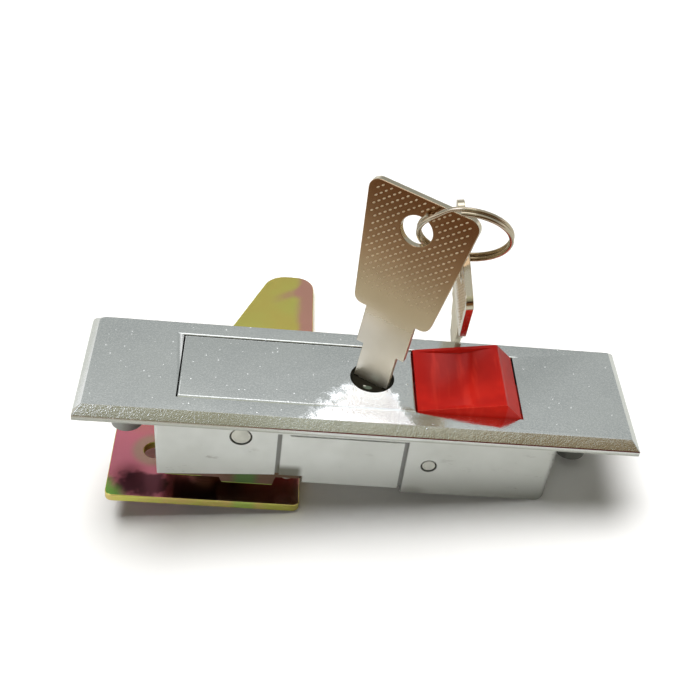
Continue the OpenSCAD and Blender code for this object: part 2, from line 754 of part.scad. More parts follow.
module catch_rivets() {
  head_h = 0.7;
  color("#b4b4ae") for (side = [-1, 1]) translate([rivet_x, side * rivet_y, catch_low]) {
    translate([0, 0, -head_h]) cylinder(d = rivet_d + 1.6, h = head_h);
    cylinder(d = rivet_d, h = catch_t + catch_web_t);
    translate([0, 0, catch_t + catch_web_t]) cylinder(d = rivet_d + 1.2, h = head_h);
  }
}

// The flats of the plug's tail, on which the cam is held
module tail_shape(clearance, h) {
  intersection() {
    cylinder(d = tail_d + 2 * clearance, h = h);
    translate([-tail_w / 2 - clearance, -tail_d, 0]) cube([tail_w + 2 * clearance, 2 * tail_d, h]);
  }
}

module lock_plug() {
  chamber_w = tumbler_w + 0.4;
  chamber_h = tumbler_h + 0.2;
  color("#d8d6d0") cylinder_frame(key_turn) difference() {
    union() {
      translate([0, 0, -plug_end]) cylinder(d = plug_d, h = plug_end - face_recess);
      translate([0, 0, -plug_end - cam_t + 0.2]) tail_shape(0, cam_t);
    }
    // Keyway
    translate([-keyway_w / 2, -keyway_t / 2, -face_recess - blade_l - 0.4])
      cube([keyway_w, keyway_t, blade_l + 2]);
    // Chambers of the tumblers
    for (i = [0 : tumbler_count - 1])
      translate([-chamber_w / 2, -chamber_h / 2, -tumbler_first - i * tumbler_pitch - tumbler_t - 0.1])
        cube([chamber_w, chamber_h, tumbler_t + 0.2]);
    translate([0, 0, -plug_end - cam_t]) cylinder(d = cam_screw_d, h = cam_t + 1);
  }
}

module tumblers() {
  color("#c9a64c") cylinder_frame(key_turn) for (i = [0 : tumbler_count - 1])
    translate([0, 0, -tumbler_first - i * tumbler_pitch - tumbler_t]) difference() {
      translate([-tumbler_w / 2, -tumbler_h / 2, 0]) cube([tumbler_w, tumbler_h, tumbler_t]);
      translate([-blade_w / 2 - 0.12, -keyway_t / 2, -1]) cube([blade_w + 0.24, keyway_t, tumbler_t + 2]);
    }
}

module lock_cam() {
  arm = cam_l - cam_arm_w / 2;
  color("#b7b3a6") cylinder_frame() rotate([0, 0, cam_turn]) translate([0, 0, -plug_end - 0.1 - cam_t])
    difference() {
      union() {
        cylinder(d = cam_hub_d, h = cam_t);
        translate([0, -cam_arm_w / 2, 0]) cube([arm, cam_arm_w, cam_t]);
        translate([arm, 0, 0]) cylinder(d = cam_arm_w, h = cam_t);
      }
      rotate([0, 0, key_turn - cam_turn]) translate([0, 0, -1]) tail_shape(0.05, cam_t + 2);
    }
}

module cam_screw() {
  head_d = 6.8;
  head_h = 1.8;
  color("#b9b9b4") cylinder_frame() translate([0, 0, -plug_end - 0.1 - cam_t]) difference() {
    union() {
      translate([0, 0, -head_h]) cylinder(d = head_d, h = head_h);
      translate([0, 0, -eps]) cylinder(d = cam_screw_d, h = cam_t + 0.6);
    }
    translate([0, 0, -head_h]) cross_recess(0.6 * head_d, 0.8, 1);
  }
}

// Outline of a key, from the plug's face upwards, with the blade below
module key_outline() {
  side_angle = atan((bow_top_w - bow_low_w) / 2 / bow_l);
  right = concat([[1.4, -blade_l], [blade_w / 2, 2.4 - blade_l], [blade_w / 2, 0.1], [shank_w / 2, 0.1],
    [shank_w / 2, neck_low], [neck_w / 2, neck_low], [neck_w / 2, key_shoulder]],
    arc_points(bow_low_w / 2 - shoulder_r, key_shoulder + shoulder_r, shoulder_r, 270, 360 - side_angle),
    arc_points(bow_top_w / 2 - bow_corner, key_above - bow_corner, bow_corner, -side_angle, 90));
  left = [for (i = [len(right) - 1 : -1 : 0]) [-right[i][0], right[i][1]]];
  polygon(concat(right, left));
}

// The whole key, standing on its blade in X and Z
module key_solid() {
  difference() {
    rotate([90, 0, 0]) translate([0, 0, -key_t / 2]) linear_extrude(key_t) key_outline();
    translate([0, 0, hole_height]) rotate([90, 0, 0]) cylinder(d = bow_hole_d, h = key_t + 2, center = true);
    // Cuts of the blade
    for (i = [0 : tumbler_count - 2], side = [-1, 1]) let (bit = bit_size + 0.15 * ((i + 1) % 3))
      translate([side * (blade_w / 2 + 0.15), 0, -4.6 - i * tumbler_pitch - 0.4 * side]) rotate([0, 45, 0])
        cube([bit, key_t + 2, bit], center = true);
  }
}

module key() {
  color("#b9ac94") cylinder_frame(key_turn) translate([0, 0, -face_recess]) key_solid();
}

// Directions of the key: up its axis, across its face and out of its back
key_up = [sin(lean), 0, cos(lean)];
key_across = [cos(key_turn) * cos(lean), sin(key_turn), -cos(key_turn) * sin(lean)];
key_back = [-sin(key_turn) * cos(lean), cos(key_turn), sin(key_turn) * sin(lean)];
key_hole = [cylinder_x, 0, plate_t] + (hole_height - face_recess) * key_up;

// Split ring: two turns side by side, with a ramp from one to the other
ring_r = (ring_d - ring_wire_d) / 2;
ring_pitch = ring_wire_d + 0.04;
ring_yaw = 7.2;
ring_tilt = 27.6;
ring_mid = key_hole + (ring_r - 0.4) * key_across + 2.95 * key_back + 2.35 * key_up;
ring_end = 24;
ramp_half = 18;
module key_ring() {
  steps = 110;
  coil = [for (i = [0 : steps]) let (a = ring_end + (720 - 2 * ring_end) * i / steps,
      shift = max(-1, min(1, (a - 360) / ramp_half)))
    [ring_r * cos(a + 84), ring_r * sin(a + 84), ring_pitch / 2 * sin(90 * shift)]];
  color("#c4c2bb") translate(ring_mid) rotate([0, 0, -ring_yaw]) rotate([ring_tilt - 90, 0, 0])
    wire(coil, ring_wire_d, up = [0, 0, 1], sides = 10);
}

// The spare key hangs from the lowest point of the ring and leans on the plate's far edge
ring_normal = [sin(ring_yaw) * cos(ring_tilt), cos(ring_yaw) * cos(ring_tilt), sin(ring_tilt)];
ring_down = (ring_normal * ring_normal[2] - [0, 0, 1]) / cos(ring_tilt);
ring_low = ring_mid + ring_r * ring_down;
spare_hole = ring_low + [1.9, 0.9, -3.15];
spare_lean = 31.3;
spare_side = -10.1;
module spare_key() {
  color("#b9ac94") translate(spare_hole) rotate([0, spare_side, 0]) rotate([spare_lean, 0, 0])
    rotate([0, 0, 90]) translate([0, 0, -hole_height]) key_solid();
}

module drive_slide() {
  foot_hole = foot_d / 2 + slide_play;
  pin_hole = drive_pin_d / 2 + slide_play;
  color("#9a9a96") slab(slide_low, slide_top) difference() {
    round_rect(slide_x0, slide_x0 + slide_l, -slide_w / 2, slide_w / 2, 1.5);
    translate([foot_rest_x - foot_hole, -foot_w / 2 - 0.5]) square([2 * foot_hole, foot_w + 1]);
    translate([spindle_x - slide_travel / 2 - pin_hole, crank_r * cos(latch_turn / 2) - pin_hole - 0.3])
      square([2 * pin_hole, crank_r * (1 - cos(latch_turn / 2)) + 2 * pin_hole + 0.6]);
  }
}

module latch_spindle() {
  rivet_low = latch_low - washer_t;
  color("#a9a08a") translate([spindle_x, 0, 0]) difference() {
    union() {
      translate([0, 0, drum_top - eps]) cylinder(d = journal_d, h = journal_top - drum_top + eps);
      translate([0, 0, latch_top]) cylinder(d = drum_d, h = drum_top - latch_top);
      slab(rivet_low, latch_top + eps) square(square_w, center = true);
      translate([0, 0, rivet_low - rivet_head_h]) cylinder(d1 = 8.6, d2 = 10, h = rivet_head_h);
    }
    // Groove for the clip
    translate([0, 0, journal_top - 1]) difference() {
      cylinder(d = journal_d + 2, h = 0.65);
      translate([0, 0, -1]) cylinder(d = journal_d - 1.6, h = 3);
    }
    // Hole for the drive pin
    rotate([0, 0, crank_rest]) translate([crank_r, 0, drum_top - 5]) cylinder(d = drive_pin_d - 1, h = 6);
  }
}

module drive_pin() {
  color("#b4b4ae") translate([spindle_x, 0, drum_top]) rotate([0, 0, crank_rest]) translate([crank_r, 0, 0]) {
    translate([0, 0, -5]) cylinder(d = drive_pin_d - 1, h = 5 + eps);
    cylinder(d = drive_pin_d, h = slide_top - 0.2 - drum_top);
  }
}

module spindle_clip() {
  color("#6f7274") translate([spindle_x, 0, journal_top - 0.95]) difference() {
    cylinder(d = journal_d + 3.4, h = 0.55);
    translate([0, 0, -1]) cylinder(d = journal_d - 1.56, h = 3);
    translate([0, -2.4, -1]) cube([journal_d, 4.8, 3]);
  }
}

module latch_outline() {
  foot = [-12.5, base_w / 2];
  inward = [cos(tongue_slant), -sin(tongue_slant)];
  tip_cy = tongue_reach - tongue_left_r;
  tip_cx = foot[0] + (tongue_left_r - (tip_cy - foot[1]) * inward[1]) / inward[0];
  cx = base_l / 2 - base_corner;
  cy = base_w / 2 - base_corner;
  polygon(concat(arc_points(-cx, -cy, base_corner, 180, 270), arc_points(cx, -cy, base_corner, 270, 360),
    [[base_l / 2, base_w / 2 - 4], [tongue_side, base_w / 2 + 8]],
    arc_points(tongue_side - tongue_right_r, tongue_reach - tongue_right_r, tongue_right_r, 0, 90),
    arc_points(tip_cx, tip_cy, tongue_left_r, 90, 180 - tongue_slant), [foot],
    arc_points(-cx, cy, base_corner, 90, 180)));
}

module latch_plate() {
  color("#a8904f") translate([spindle_x, 0, 0]) slab(latch_low, latch_top) difference() {
    latch_outline();
    square(square_w, center = true);
    for (side = [-1, 1]) translate([side * rod_offset, 0]) circle(d = rod_hole_d);
  }
}

module latch_washer() {
  color("#b9b9b4") translate([spindle_x, 0, latch_low - washer_t]) difference() {
    cylinder(d = washer_d, h = washer_t);
    translate([-square_w / 2, -square_w / 2, -1]) cube([square_w, square_w, washer_t + 2]);
  }
}

body();
cover_plate();
cover_screws();
spindle_bush();
handle_pin();
button_pin();
handle_spring();
button_spring();
handle();
lock_barrel();
barrel_clip();
button();
catch_plate();
catch_rivets();
lock_plug();
tumblers();
lock_cam();
cam_screw();
key();
key_ring();
spare_key();
drive_slide();
latch_spindle();
drive_pin();
spindle_clip();
latch_plate();
latch_washer();
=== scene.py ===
# Flush panel lock: a plated casting with a lift handle, a red push button,
# a keyed cylinder with two keys on a split ring, and a turning latch plate.
import math
import bmesh
import bpy
from mathutils import Matrix, Vector


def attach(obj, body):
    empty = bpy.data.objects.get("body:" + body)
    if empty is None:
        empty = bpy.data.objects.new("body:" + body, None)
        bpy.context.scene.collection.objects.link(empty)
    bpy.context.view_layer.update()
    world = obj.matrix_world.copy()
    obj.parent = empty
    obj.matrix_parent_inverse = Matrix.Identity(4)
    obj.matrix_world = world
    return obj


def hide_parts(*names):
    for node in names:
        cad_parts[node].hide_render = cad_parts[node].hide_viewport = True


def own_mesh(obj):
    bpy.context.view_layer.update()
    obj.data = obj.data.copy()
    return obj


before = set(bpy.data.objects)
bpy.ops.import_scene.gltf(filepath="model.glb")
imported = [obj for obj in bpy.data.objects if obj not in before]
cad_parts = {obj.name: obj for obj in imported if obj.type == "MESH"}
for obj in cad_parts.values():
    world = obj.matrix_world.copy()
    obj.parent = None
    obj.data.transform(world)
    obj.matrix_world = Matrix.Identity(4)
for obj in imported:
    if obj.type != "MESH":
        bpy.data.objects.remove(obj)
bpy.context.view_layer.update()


# Table and room. The lock lies on a white sheet under soft light from behind
# and above, and the camera stands in front of it, where the room is darker.
mm = 0.001


class Tone:
    """An output of a shader node, usable in sums like a number."""

    def __init__(self, socket):
        self.socket = socket

    def _sum(self, operation, *terms):
        tree = self.socket.id_data
        step = tree.nodes.new("ShaderNodeMath")
        step.operation = operation
        for place, term in zip(step.inputs, terms):
            feed(tree, place, term)
        return Tone(step.outputs[0])

    def __add__(self, other):
        return self._sum("ADD", self, other)

    def __radd__(self, other):
        return self._sum("ADD", other, self)

    def __sub__(self, other):
        return self._sum("SUBTRACT", self, other)

    def __rsub__(self, other):
        return self._sum("SUBTRACT", other, self)

    def __mul__(self, other):
        return self._sum("MULTIPLY", self, other)

    def __truediv__(self, other):
        return self._sum("DIVIDE", self, other)

    def __pow__(self, other):
        return self._sum("POWER", self, other)

    def __abs__(self):
        return self._sum("ABSOLUTE", self)

    def above(self, low, high):
        """Rises smoothly from 0 at low to 1 at high."""
        tree = self.socket.id_data
        step = tree.nodes.new("ShaderNodeMapRange")
        step.interpolation_type = "SMOOTHSTEP"
        for name, term in (("Value", self), ("From Min", low), ("From Max", high)):
            feed(tree, step.inputs[name], term)
        return Tone(step.outputs[0])


def feed(tree, place, term):
    """Sets a socket to a value, or joins it to a tone."""
    if isinstance(term, Tone):
        tree.links.new(term.socket, place)
    elif hasattr(place.default_value, "__len__") and len(place.default_value) == 4:
        place.default_value = tuple(term)[:3] + (1,)
    else:
        place.default_value = term


class Finish:
    """A material or a world, made of nodes."""

    def __init__(self, owner):
        owner.use_nodes = True
        self.owner = owner
        self.tree = owner.node_tree
        self.tree.nodes.clear()

    def node(self, kind, settings=None, sockets=None, out=0):
        """One node: its settings first, then its sockets' values and links."""
        made = self.tree.nodes.new(kind if "Node" in kind else "ShaderNode" + kind)
        for name, value in (settings or {}).items():
            if name == "stops":
                while len(made.color_ramp.elements) < len(value):
                    made.color_ramp.elements.new(1)
                for stop, (place, colour) in zip(made.color_ramp.elements, value):
                    stop.position = place
                    stop.color = tuple(colour) + (1,)
            else:
                setattr(made, name, value)
        for name, term in (sockets or {}).items():
            feed(self.tree, made.inputs[name], term)
        return Tone(made.outputs[out]) if made.outputs else made

    def spot(self):
        """The place on the piece, in metres."""
        return self.node("TexCoord", out="Object")

    def stretched(self, where, shares):
        """The place, with each of its numbers counted by its share."""
        times = {"operation": "MULTIPLY"}
        return self.node("VectorMath", times, {0: where, 1: shares}, out="Vector")

    def reach(self, where, direction):
        """How far the place lies in that direction."""
        dot = {"operation": "DOT_PRODUCT"}
        return self.node("VectorMath", dot, {0: where, 1: direction}, out="Value")

    def part(self, vector):
        """The three numbers of a vector."""
        cut = self.node("SeparateXYZ", sockets={"Vector": vector}).socket.node
        return [Tone(output) for output in cut.outputs]

    def mix(self, factor, first, second):
        """Goes from the first colour to the second."""
        made = self.tree.nodes.new("ShaderNodeMix")
        made.data_type = "RGBA"
        feed(self.tree, made.inputs[0], factor)
        feed(self.tree, made.inputs[6], first)
        feed(self.tree, made.inputs[7], second)
        return Tone(made.outputs[2])

    def noise(self, where, scale, detail=2, roughness=0.5):
        sockets = {"Vector": where, "Scale": scale, "Detail": detail, "Roughness": roughness}
        return self.node("TexNoise", sockets=sockets)

    def bump(self, height, depth, strength=1.0, under=None):
        sockets = {"Height": height, "Distance": depth, "Strength": strength}
        if under is not None:
            sockets["Normal"] = under
        return self.node("Bump", sockets=sockets)

    def surface(self, **sockets):
        """The principled shader, with underscores for the spaces of its sockets."""
        named = {name.replace("_", " "): term for name, term in sockets.items()}
        shader = self.node("BsdfPrincipled", sockets=named)
        self.node("OutputMaterial", sockets={"Surface": shader})
        return self.owner


def finish_named(name):
    return Finish(bpy.data.materials.new(name))


eye = Vector((-30.07, -232.58, 212.45)) * mm
view_right = Vector((0.99387, -0.01818, 0.10909))
view_up = Vector((-0.07074, 0.65370, 0.75345))
view_ahead = Vector((0.0850, 0.7565, -0.6484))
lens = bpy.data.cameras.new("photo_camera")
lens.lens = 59.06
lens.sensor_width = 36
lens.clip_start = 0.01
camera = bpy.data.objects.new("photo_camera", lens)
aimed = Matrix((view_right, view_up, -view_ahead)).transposed().to_4x4()
camera.matrix_world = Matrix.Translation(eye) @ aimed
bpy.context.scene.collection.objects.link(camera)
bpy.context.scene.camera = camera
bpy.context.scene.view_settings.view_transform = "Standard"

room = Finish(bpy.data.worlds.new("room"))
bpy.context.scene.world = room.owner
rays = room.node("LightPath").socket.node.outputs
seen = Tone(rays["Is Camera Ray"])
mirrored = Tone(rays["Is Glossy Ray"])
through = Tone(rays["Is Transmission Ray"])
side_x, side_y, side_z = room.part(room.node("TexCoord", out="Generated"))
in_front = 1 - side_y.above(-0.62, -0.30)
to_right = side_x.above(0.10, 0.30)
rising = side_z.above(0.45, 0.90)
wall_low = room.mix(to_right, (0.34, 0.34, 0.27), (0.16, 0.11, 0.05))
wall_high = room.mix(to_right, (0.62, 0.64, 0.51), (0.35, 0.25, 0.115))
wall_in_front = room.mix(rising, wall_low, wall_high)
wall_behind = room.mix(rising, (0.40, 0.42, 0.41), (0.60, 0.62, 0.61))
ceiling = room.mix(in_front, wall_behind, wall_in_front)
dark_floor = in_front * side_x.above(-0.45, -0.25)
skirting = room.mix(dark_floor, (1.0, 1.0, 1.0), (0.035, 0.012, 0.012))
room_glow = room.mix(side_z.above(0.14, 0.40), skirting, ceiling)
lit_ceiling = side_z.above(0.80, 0.90) * (1 - side_x.above(0.20, 0.30)) * side_y.above(0.02, 0.16)
room_glow = room.mix(lit_ceiling, room_glow, (2.3, 2.3, 2.3))
window_x, window_y, window_z = -0.53, -0.457, 0.713
to_window = side_x * window_x + side_y * window_y + side_z * window_z
front_window = to_window.above(0.970, 0.988)
room_glow = room.mix(front_window, room_glow, (3.6, 3.9, 4.9))
glow = room.mix(mirrored, (0.070, 0.063, 0.046), room_glow)
glow = room.mix(through, glow, (1, 1, 1))
glow = room.mix(seen, glow, (1, 1, 1))
room.node("OutputWorld", sockets={"Surface": room.node("Background", sockets={"Color": glow})})


def lamp(name, towards, power, spread):
    """A soft sun that shines from that direction."""
    light = bpy.data.lights.new(name, "SUN")
    light.energy = power
    light.angle = math.radians(spread)
    holder = bpy.data.objects.new(name, light)
    holder.matrix_world = Vector(towards).to_track_quat("Z", "Y").to_matrix().to_4x4()
    holder.visible_glossy = False
    bpy.context.scene.collection.objects.link(holder)


lamp("window_above", (-0.20, 0.25, 0.95), 3.8, 48)
lamp("front_fill", (-0.35, -0.80, 0.50), 0.30, 50)

# The lock leans on the edge of its latch's tongue and on the end of its housing
tongue_edge = (-10.5 * mm, -32.55 * mm)
housing_end = (51.8 * mm, -24.0 * mm)
table_slope = (housing_end[1] - tongue_edge[1]) / (housing_end[0] - tongue_edge[0])
table_reach = 1.6
sheet = bpy.data.meshes.new("table")
near, far = -table_reach, table_reach
corners = [
    (x, y, tongue_edge[1] + (x - tongue_edge[0]) * table_slope)
    for x, y in ((near, near), (far, near), (far, far), (near, far))
]
sheet.from_pydata(corners, [], [(0, 1, 2, 3)])
table = bpy.data.objects.new("table", sheet)
bpy.context.scene.collection.objects.link(table)
paper = finish_named("white_sheet")
rays = paper.node("LightPath").socket.node.outputs
mirrored = Tone(rays["Is Glossy Ray"])
# Painted shade: seen in reflections, the sheet is greyer near the lock and brown further in front
far_sheet = (0 - paper.part(paper.spot())[1]).above(0.075, 0.16)
sheet_shaded_in_reflections = paper.mix(far_sheet, (0.57, 0.58, 0.55), (0.15, 0.075, 0.032))
sheet_colour = paper.mix(mirrored, (0.97, 0.965, 0.955), sheet_shaded_in_reflections)
paper.surface(
    Base_Color=sheet_colour,
    Roughness=0.9,
    Specular_IOR_Level=0.0,
)
sheet.materials.append(paper.owner)


# Faceplate and housing: one pressure casting in zinc, with the bosses that the
# panel's screws go into. The face is polished and plated in satin chrome, with
# small pits; the housing below is plated thinly over the bare casting.
weld_within = 0.002 * mm
flat_within = math.radians(1)
sharp_beyond = math.radians(30)


def edges_broken(node, name, width, steps=2, singled_out=()):
    """A joined-up copy of a solid, with its edges rounded as plating leaves them.

    Each entry of worn holds a test for the two ends of an edge, in millimetres, and
    the width to round it to beforehand.
    """
    blank = bmesh.new()
    blank.from_mesh(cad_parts[node].data)
    bmesh.ops.remove_doubles(blank, verts=blank.verts, dist=weld_within)
    bmesh.ops.dissolve_limit(
        blank, angle_limit=flat_within, verts=blank.verts, edges=blank.edges
    )
    for test, rounded in singled_out:
        chosen = [edge for edge in blank.edges if test(*[end.co / mm for end in edge.verts])]
        bmesh.ops.bevel(
            blank, geom=chosen, offset=rounded * mm, offset_type="OFFSET", segments=5,
            profile=0.5, affect="EDGES", clamp_overlap=True,
        )
    mesh = bpy.data.meshes.new(name)
    blank.to_mesh(mesh)
    blank.free()
    mesh.materials.clear()
    mesh.shade_smooth()
    mesh.set_sharp_from_angle(angle=sharp_beyond)
    piece = bpy.data.objects.new(name, mesh)
    bpy.context.scene.collection.objects.link(piece)
    rounding = piece.modifiers.new("rounded_edges", "BEVEL")
    rounding.width = width * mm
    rounding.segments = steps
    rounding.limit_method = "ANGLE"
    rounding.angle_limit = sharp_beyond
    rounding.use_clamp_overlap = True
    rounding.harden_normals = True
    return piece


def coat(piece, material):
    piece.data.materials.clear()
    piece.data.materials.append(material)


def stands_for(piece, body, slot, *nodes):
    """The piece takes the place of solids of the frame and moves with their body."""
    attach(piece, body)
    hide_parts(*nodes)


def away(first, second):
    """The distance that two offsets at right angles make."""
    return (first ** 2 + second ** 2) ** 0.5


def pitted_chrome(name, shaded_pin_rims=()):
    """Chrome on a zinc casting: glossy, with fine orange peel and scattered pits.

    The last argument holds the x, z and radius of the pins round whose rims shade is painted.
    """
    chrome = finish_named(name)
    spot = chrome.spot()
    along, across, height = chrome.part(spot)
    peel = chrome.noise(spot, 2300, detail=2, roughness=0.5)
    ripple = chrome.noise(spot, 420, detail=1)
    cloud = chrome.noise(spot, 45, detail=3, roughness=0.6)
    thick = chrome.noise(spot, 60, detail=1)
    cells = chrome.node(
        "TexVoronoi", {"feature": "F1"}, {"Vector": spot, "Scale": 620.0, "Randomness": 1.0}
    ).socket.node
    chance, size = chrome.part(Tone(cells.outputs["Color"]))[:2]
    pitted = (chance + thick * 0.6).above(0.98, 1.02)
    pit = (1 - (Tone(cells.outputs["Distance"]) / (0.5 + size)).above(0.07, 0.16)) * pitted
    face = height.above(0.2 * mm, 1.2 * mm)
    low = 1 - (height + cloud * (8 * mm)).above(-20 * mm, -8 * mm)
    cast_grey = chrome.mix(cloud.above(0.30, 0.70), (0.90, 0.92, 0.91), (0.76, 0.78, 0.76))
    # Painted shade: the wall grows darker towards the right
    cast_grey = chrome.mix(along.above(-30 * mm, 40 * mm) * 0.35, cast_grey, (0.56, 0.56, 0.51))

    # The housing is painted greyer towards its bottom, most at the button's end, as painted shade;
    # scuffs run along its wall
    right_end = along.above(10 * mm, 18 * mm)
    cast_grey = chrome.mix(low * (0.30 + right_end * 0.35), cast_grey, (0.46, 0.46, 0.42))
    scuff = chrome.noise(chrome.stretched(spot, (0.35, 1.0, 1.0)), 330, detail=4, roughness=0.7)
    scuff = scuff.above(0.60, 0.68) * cloud.above(0.44, 0.60)
    cast_grey = chrome.mix(scuff * 0.45, cast_grey, (0.36, 0.35, 0.32))
    # Painted shade round the step at the foot of the button's end
    from_step = away(along - 16.5 * mm, (height + 24 * mm) * 1.6)
    painted_light_mark = (1 - from_step.above(1.5 * mm, 6 * mm)) * 0.5
    cast_grey = chrome.mix(painted_light_mark, cast_grey, (0.24, 0.23, 0.20))

    # Darker places: painted shade in two grooves down the wall, a painted reflection of the latch
    # beside it, painted shade on the screw bosses, the plate's upright rim and painted shade round
    # the pins
    for groove_x in (-20.9, 13.3):
        groove_shade = 1 - abs(along - groove_x * mm).above(0.45 * mm, 0.75 * mm)
        groove_shade = groove_shade * (1 - height.above(-5 * mm, -4 * mm))
        cast_grey = chrome.mix(groove_shade, cast_grey, (0.32, 0.32, 0.31))
    # Painted reflection: a dark olive patch low on the wall beside the latch
    beside_latch = along.above(-22 * mm, -20 * mm) * (1 - along.above(-15.5 * mm, -13.5 * mm))
    latch_reflection_painted = beside_latch * (1 - (height + cloud * (3 * mm)).above(-16.5 * mm, -14.0 * mm))
    cast_grey = chrome.mix(latch_reflection_painted * 0.8, cast_grey, (0.12, 0.11, 0.07))
    # Painted shade on the bosses below the plate
    boss_painted_shade = abs(along).above(57.5 * mm, 58.5 * mm) * (1 - height.above(-3.0 * mm, -0.6 * mm))
    cast_grey = chrome.mix(boss_painted_shade * 0.75, cast_grey, (0.20, 0.20, 0.19))
    upright_edge = height.above(-0.2 * mm, 0.1 * mm)
    cast_grey = chrome.mix(upright_edge, cast_grey, (0.56, 0.57, 0.53))
    # Painted shade in the gaps round the pins
    for pin_x, pin_z, pin_r in shaded_pin_rims:
        from_pin = away(along - pin_x * mm, height - pin_z * mm)
        pin_gap_shade = 1 - from_pin.above((pin_r + 0.25) * mm, (pin_r + 0.7) * mm)
        cast_grey = chrome.mix(pin_gap_shade, cast_grey, (0.09, 0.085, 0.07))

    # The face is a little cloudy, and a dark line runs along the foot of its bevel
    face_grey = chrome.mix(cloud.above(0.3, 0.7), (0.72, 0.74, 0.74), (0.78, 0.80, 0.79))
    face_grey = chrome.mix(peel.above(0.40, 0.68) * 0.6, face_grey, (0.92, 0.93, 0.92))
    foot = 1 - abs(height - 1.45 * mm).above(0.08 * mm, 0.24 * mm)
    foot = foot * abs(across).above(19.7 * mm, 19.9 * mm)
    face_grey = chrome.mix(foot, face_grey, (0.26, 0.07, 0.08))

    # The bevel is only ground, so its skin is coarser than the face. The face was pressed in a
    # little below the keyhole, and is painted white and made to glow there: a painted highlight
    ground = abs(across).above(17.4 * mm, 17.8 * mm) * face
    ragged = (ripple - 0.5) * (6 * mm) + (peel - 0.5) * (4 * mm)
    dip_and_painted_glare = 1 - (along + across * 0.5 + ragged).above(4.2 * mm, 6.6 * mm)
    dip_and_painted_glare = dip_and_painted_glare * (along - across * 0.726 + ragged * 1.6).above(-4.5 * mm, 4 * mm)
    dip_and_painted_glare = dip_and_painted_glare * (0 - across).above(1.0 * mm, 4.5 * mm) * face * (1 - ground)
    tilt = chrome.node("VectorMath", {"operation": "SCALE"}, {0: (0, -0.17, 0), "Scale": dip_and_painted_glare})
    outwards = chrome.node("NewGeometry", out="Normal")
    leaning = chrome.node("VectorMath", {"operation": "ADD"}, {0: outwards, 1: tilt})
    leaning = chrome.node("VectorMath", {"operation": "NORMALIZE"}, {0: leaning})

    coarse = (0.06 + ground * 0.09 + dip_and_painted_glare * 0.10) * mm
    relief = chrome.bump(peel + ripple * 0.8, coarse, strength=0.5, under=leaning)
    relief = chrome.bump(pit, 0.06 * mm, strength=0.8, under=relief)
    # Painted highlight: the dip is painted white
    face_grey = chrome.mix(dip_and_painted_glare, face_grey, (1.0, 1.0, 1.0))
    # Painted shade: the near bevel is made greyer towards its left end
    bevel_left_painted_shade = ground * (0 - across).above(0.0, 1 * mm) * (1 - along.above(-40 * mm, -12 * mm))
    face_grey = chrome.mix(bevel_left_painted_shade * 0.8, face_grey, (0.52, 0.50, 0.42))
    return chrome.surface(
        Base_Color=chrome.mix(face, cast_grey, face_grey),
        Metallic=0.80 + face * 0.20,
        Roughness=0.40 - face * 0.28 + cloud * 0.04 + ground * 0.08 + dip_and_painted_glare * 0.06,
        # Painted highlight: the dip glows
        Emission_Color=chrome.mix(dip_and_painted_glare, (0.0, 0.0, 0.0), (0.38, 0.41, 0.46)),
        Emission_Strength=1.0,
        Normal=relief,
    )


# Tests for the edges that are worn rounder than the others, all in millimetres
near_face = 3.75
bevel_x, bevel_y = 72.6, 17.6


def at_far_left(start, end):
    return all(place.x < -bevel_x and place.y > bevel_y for place in (start, end))


def at_corner(start, end):
    slanting = start.z != end.z
    return slanting and all(
        abs(place.x) > bevel_x and abs(place.y) > bevel_y for place in (start, end)
    )


def round_the_face(start, end):
    return all(
        place.z > near_face and (abs(place.x) > 70.5 or abs(place.y) > 15.5)
        for place in (start, end)
    )


def far_lip(start, end):
    return all(place.z > near_face and 12.6 < place.y < 12.8 for place in (start, end))


def foot_of_bevel(start, end):
    return all(
        1.3 < place.z < 1.5 and (abs(place.x) > 74.9 or abs(place.y) > 19.9)
        for place in (start, end)
    )


handle_pin_rim = (-31.3, -6.3, 2.55)
button_pin_rim = (20.3, -13.0, 1.75)
casting = edges_broken("body", "plated_casting", 0.22, steps=3, singled_out=(
    (at_far_left, 1.5),
    (at_corner, 0.5),
    (round_the_face, 0.6),
    (foot_of_bevel, 0.4),
    (far_lip, 0.45),
))
coat(casting, pitted_chrome("satin_chrome", shaded_pin_rims=(handle_pin_rim, button_pin_rim)))
stands_for(casting, "housing", "plated_casting", "body")


# Handle: a second casting, plated with the first, that swings up on a cross
# pin and carries the lock cylinder near its right end.
def along_the_top(start, end):
    return all(place.z > near_face and abs(place.y) > 11.9 for place in (start, end))


handle = edges_broken("handle", "lift_handle", 0.16, steps=2, singled_out=((along_the_top, 0.38),))
coat(handle, pitted_chrome("satin_chrome_handle"))
stands_for(handle, "handle_body", "plated_casting", "handle")


# Push button: a hollow rocker in clear red plastic, moulded glossy, with a
# thumb face that is hollowed between two flat slopes inside a narrow rim.
button = edges_broken("button", "red_button", 0.3, steps=3)
gloss_red = finish_named("glossy_red_plastic")
spot = gloss_red.spot()
along, across, height = gloss_red.part(spot)
flow = gloss_red.noise(spot, 120, detail=2)
streak = gloss_red.noise(gloss_red.stretched(spot, (1.0, 0.12, 0.3)), 420, detail=2)
frosted = along.above(38.4 * mm, 39.4 * mm)
deep_red = gloss_red.mix(flow.above(0.35, 0.65), (0.61, 0.017, 0.009), (0.50, 0.012, 0.007))
# Painted shade: the red is darker towards the far side
deep_red = gloss_red.mix(across.above(-8 * mm, 11 * mm) * 0.8, deep_red, (0.27, 0.008, 0.006))
deep_red = gloss_red.mix(streak.above(0.50, 0.70) * 0.35, deep_red, (0.70, 0.040, 0.022))

